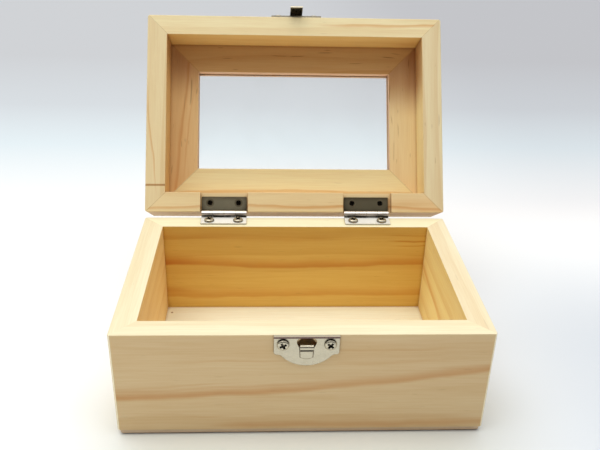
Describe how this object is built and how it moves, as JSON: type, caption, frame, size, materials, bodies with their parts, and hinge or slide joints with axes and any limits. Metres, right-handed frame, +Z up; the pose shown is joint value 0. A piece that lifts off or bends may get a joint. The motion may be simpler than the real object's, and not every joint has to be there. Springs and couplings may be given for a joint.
{
  "type": "hinged storage chest",
  "caption": "Small pine chest with an open box body, a hinged lid holding a glazed picture-frame window, butt hinges and a draw latch.",
  "frame": {"origin": "centre of the chest body's base, on the surface that it stands on", "axes": "+X to the right along the chest seen from the latch side, +Y to the hinge side at the back, +Z up; the lid stands open on its stop"},
  "size_m": [0.16, 0.188, 0.1543],
  "materials": {
    "pine": "planed softwood under clear satin lacquer",
    "nickel_plate": "nickel-plated steel, lightly worn",
    "nail_steel": "bright wire-nail steel",
    "pane": "clear float glass"
  },
  "bodies": {
    "body": {"front_wall": "pine", "back_wall": "pine", "left_wall": "pine", "right_wall": "pine", "bottom_board": "pine", "bottom_nails": "nail_steel", "left_hinge_body_leaf": "nickel_plate", "right_hinge_body_leaf": "nickel_plate", "left_hinge_pin": "nickel_plate", "right_hinge_pin": "nickel_plate", "left_hinge_body_screws": "nickel_plate", "right_hinge_body_screws": "nickel_plate", "catch_plate": "nickel_plate", "catch_plate_screws": "nickel_plate"},
    "lid": {"lid_front_rail": "pine", "lid_back_rail": "pine", "lid_left_rail": "pine", "lid_right_rail": "pine", "lid_frame_front": "pine", "lid_frame_back": "pine", "lid_frame_left": "pine", "lid_frame_right": "pine", "window_glass": "pane", "left_hinge_lid_leaf": "nickel_plate", "right_hinge_lid_leaf": "nickel_plate", "left_hinge_lid_screws": "nickel_plate", "right_hinge_lid_screws": "nickel_plate", "latch_plate": "nickel_plate", "latch_plate_screws": "nickel_plate", "latch_pin": "nickel_plate"},
    "lever": {"latch_lever": "nickel_plate"}
  },
  "joints": [
    {"name": "lid_hinge", "type": "hinge", "parent": "body", "child": "lid", "pos_m": [0, 0.0543, 0.055], "axis": [1, 0, 0], "range_deg": [0, 121.5]},
    {"name": "latch_lever", "type": "hinge", "parent": "lid", "child": "lever", "pos_m": [0.0004, 0.11582, 0.14602], "axis": [-1, 0, 0], "range_deg": [-3.2, 160]}
  ]
}
